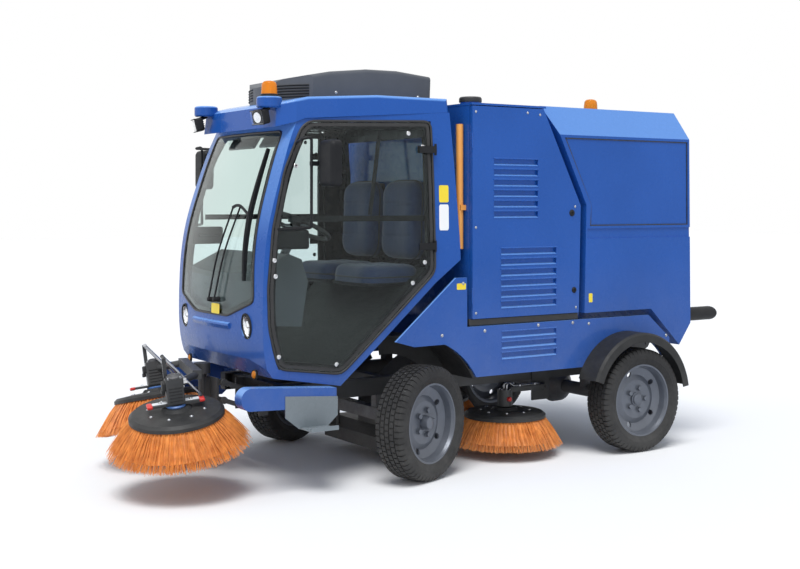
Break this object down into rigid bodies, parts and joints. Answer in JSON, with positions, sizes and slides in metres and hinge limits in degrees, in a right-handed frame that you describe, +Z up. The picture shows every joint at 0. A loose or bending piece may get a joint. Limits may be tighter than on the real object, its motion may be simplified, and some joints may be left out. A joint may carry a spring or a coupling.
{
  "type": "street sweeper truck",
  "caption": "Compact street sweeper truck with a glazed cab, slewing front brushes, side brushes amidships, suction mouth and tipping waste hopper.",
  "frame": {"origin": "on the ground under the middle of the vehicle's overall length and width", "axes": "+Z up, -Y towards the front of the vehicle, +X towards its left side"},
  "size_m": [1.82, 4.1019, 2.318],
  "materials": {
    "body_paint": "gloss",
    "roof_plastic": "gloss",
    "trim_plastic": "satin",
    "frame_paint": "satin",
    "bracket_paint": "satin",
    "axle_iron": "matte",
    "tyre_rubber": "matte",
    "wheel_paint": "satin",
    "tinted_glass": "gloss",
    "lamp_lens": "gloss",
    "beacon_lens": "gloss",
    "cab_trim": "satin",
    "seat_cloth": "matte",
    "engine_iron": "matte",
    "duct_rubber": "matte",
    "tube_paint": "gloss",
    "brush_plate": "matte",
    "bristle": "matte",
    "arm_paint": "satin"
  },
  "bodies": {
    "chassis": {"chassis_frame": "frame_paint", "cross_members": "frame_paint", "tow_lug": "frame_paint", "front_axle": "axle_iron", "rear_axle": "axle_iron", "side_beams": "bracket_paint", "cab_shell": "body_paint", "cab_glazing": "tinted_glass", "roof_panel": "roof_plastic", "front_beacon": "beacon_lens", "aircon_unit": "trim_plastic", "front_lamps": "lamp_lens", "dashboard": "cab_trim", "seats": "seat_cloth", "engine_housing": "body_paint", "engine_block": "engine_iron", "skirt_left": "body_paint", "skirt_right": "body_paint", "fender_left": "trim_plastic", "fender_right": "trim_plastic", "suction_mouth": "duct_rubber", "suction_duct": "duct_rubber", "hose_tube": "tube_paint"},
    "hopper": {"hopper_body": "body_paint", "hopper_sides": "body_paint", "rear_beacon": "beacon_lens", "outlet_pipe": "trim_plastic"},
    "hopper_door": {"hopper_door": "body_paint"},
    "lift_low": {"lift_link_low": "arm_paint"},
    "lift_high": {"lift_link_high": "arm_paint"},
    "lift_post": {"lift_post": "arm_paint"},
    "brush_carrier": {"brush_carrier": "arm_paint"},
    "knuckle_left": {"knuckle_left": "axle_iron"},
    "wheel_front_left": {"tyre_front_left": "tyre_rubber", "rim_front_left": "wheel_paint"},
    "wheel_rear_left": {"tyre_rear_left": "tyre_rubber", "rim_rear_left": "wheel_paint"},
    "door_left": {"door_frame_left": "trim_plastic", "door_glass_left": "tinted_glass", "mirror_left": "trim_plastic"},
    "engine_door_left": {"engine_door_left": "body_paint"},
    "brush_front_left": {"brush_disc_front_left": "brush_plate", "bristles_front_left": "bristle"},
    "mid_arm_left": {"mid_arm_left": "arm_paint"},
    "brush_mid_left": {"brush_disc_mid_left": "brush_plate", "bristles_mid_left": "bristle"},
    "knuckle_right": {"knuckle_right": "axle_iron"},
    "wheel_front_right": {"tyre_front_right": "tyre_rubber", "rim_front_right": "wheel_paint"},
    "wheel_rear_right": {"tyre_rear_right": "tyre_rubber", "rim_rear_right": "wheel_paint"},
    "door_right": {"door_frame_right": "trim_plastic", "door_glass_right": "tinted_glass", "mirror_right": "trim_plastic"},
    "engine_door_right": {"engine_door_right": "body_paint"},
    "brush_front_right": {"brush_disc_front_right": "brush_plate", "bristles_front_right": "bristle"},
    "mid_arm_right": {"mid_arm_right": "arm_paint"},
    "brush_mid_right": {"brush_disc_mid_right": "brush_plate", "bristles_mid_right": "bristle"}
  },
  "joints": [
    {"name": "steer_left", "type": "hinge", "parent": "chassis", "child": "knuckle_left", "pos_m": [0.62, -0.428, 0.32], "axis": [0, 0, 1], "range_deg": [-55, 15]},
    {"name": "roll_front_left", "type": "hinge", "parent": "knuckle_left", "child": "wheel_front_left", "pos_m": [0.72337, -0.39038, 0.32], "axis": [0.9397, 0.342, 0], "continuous": true},
    {"name": "roll_rear_left", "type": "hinge", "parent": "chassis", "child": "wheel_rear_left", "pos_m": [0.762, 1.186, 0.32], "axis": [1, 0, 0], "continuous": true},
    {"name": "door_left_swing", "type": "hinge", "parent": "chassis", "child": "door_left", "pos_m": [0.66, -0.248, 1.2], "axis": [0, 0, 1], "range_deg": [0, 75]},
    {"name": "engine_door_left_swing", "type": "hinge", "parent": "chassis", "child": "engine_door_left", "pos_m": [0.7, -0.016, 1.5], "axis": [0, 0, -1], "range_deg": [0, 90]},
    {"name": "mid_arm_left_swing", "type": "hinge", "parent": "chassis", "child": "mid_arm_left", "pos_m": [0.4, 0.762, 0.388], "axis": [1, 0, 0], "range_deg": [-3, 4.5]},
    {"name": "mid_brush_left_spin", "type": "hinge", "parent": "mid_arm_left", "child": "brush_mid_left", "pos_m": [0.4, 0.452, 0.253], "axis": [0, 0, 1], "continuous": true},
    {"name": "steer_right", "type": "hinge", "parent": "chassis", "child": "knuckle_right", "pos_m": [-0.62, -0.428, 0.32], "axis": [0, 0, 1], "range_deg": [-55, 15]},
    {"name": "roll_front_right", "type": "hinge", "parent": "knuckle_right", "child": "wheel_front_right", "pos_m": [-0.72337, -0.46562, 0.32], "axis": [0.9397, 0.342, 0], "continuous": true},
    {"name": "roll_rear_right", "type": "hinge", "parent": "chassis", "child": "wheel_rear_right", "pos_m": [-0.762, 1.186, 0.32], "axis": [1, 0, 0], "continuous": true},
    {"name": "door_right_swing", "type": "hinge", "parent": "chassis", "child": "door_right", "pos_m": [-0.66, -0.248, 1.2], "axis": [0, 0, -1], "range_deg": [0, 75]},
    {"name": "engine_door_right_swing", "type": "hinge", "parent": "chassis", "child": "engine_door_right", "pos_m": [-0.7, -0.016, 1.5], "axis": [0, 0, 1], "range_deg": [0, 90]},
    {"name": "mid_arm_right_swing", "type": "hinge", "parent": "chassis", "child": "mid_arm_right", "pos_m": [-0.4, 0.762, 0.388], "axis": [1, 0, 0], "range_deg": [-3, 4.5]},
    {"name": "mid_brush_right_spin", "type": "hinge", "parent": "mid_arm_right", "child": "brush_mid_right", "pos_m": [-0.4, 0.452, 0.253], "axis": [0, 0, 1], "continuous": true},
    {"name": "hopper_tip", "type": "hinge", "parent": "chassis", "child": "hopper", "pos_m": [0, 1.682, 0.6], "axis": [-1, 0, 0], "range_deg": [0, 55]},
    {"name": "hopper_door_swing", "type": "hinge", "parent": "hopper", "child": "hopper_door", "pos_m": [0, 1.756, 1.927], "axis": [1, 0, 0], "range_deg": [0, 80]},
    {"name": "lift_low_swing", "type": "hinge", "parent": "chassis", "child": "lift_low", "pos_m": [0, -1.088, 0.36], "axis": [1, 0, 0], "range_deg": [0, 32]},
    {"name": "lift_high_swing", "type": "hinge", "parent": "chassis", "child": "lift_high", "pos_m": [0, -1.088, 0.46], "axis": [1, 0, 0], "range_deg": [0, 32]},
    {"name": "lift_post_level", "type": "hinge", "parent": "lift_low", "child": "lift_post", "pos_m": [0, -1.31353, 0.44209], "axis": [1, 0, 0], "range_deg": [-32, 0]},
    {"name": "carrier_slew", "type": "hinge", "parent": "lift_post", "child": "brush_carrier", "pos_m": [0, -1.388, 0.5], "axis": [0, 0, 1], "range_deg": [-4.8, 35.2]},
    {"name": "front_brush_left_spin", "type": "hinge", "parent": "brush_carrier", "child": "brush_front_left", "pos_m": [0.35914, -1.69283, 0.446], "axis": [0.1401, -0.1556, 0.9778], "continuous": true},
    {"name": "front_brush_right_spin", "type": "hinge", "parent": "brush_carrier", "child": "brush_front_right", "pos_m": [-0.46402, -1.46918, 0.414], "axis": [-0.1996, -0.0633, 0.9778], "continuous": true}
  ],
  "couplings": [
    {"joint": "steer_right", "follows": "steer_left", "ratio": 1},
    {"joint": "lift_high_swing", "follows": "lift_low_swing", "ratio": 1},
    {"joint": "lift_post_level", "follows": "lift_low_swing", "ratio": -1}
  ]
}
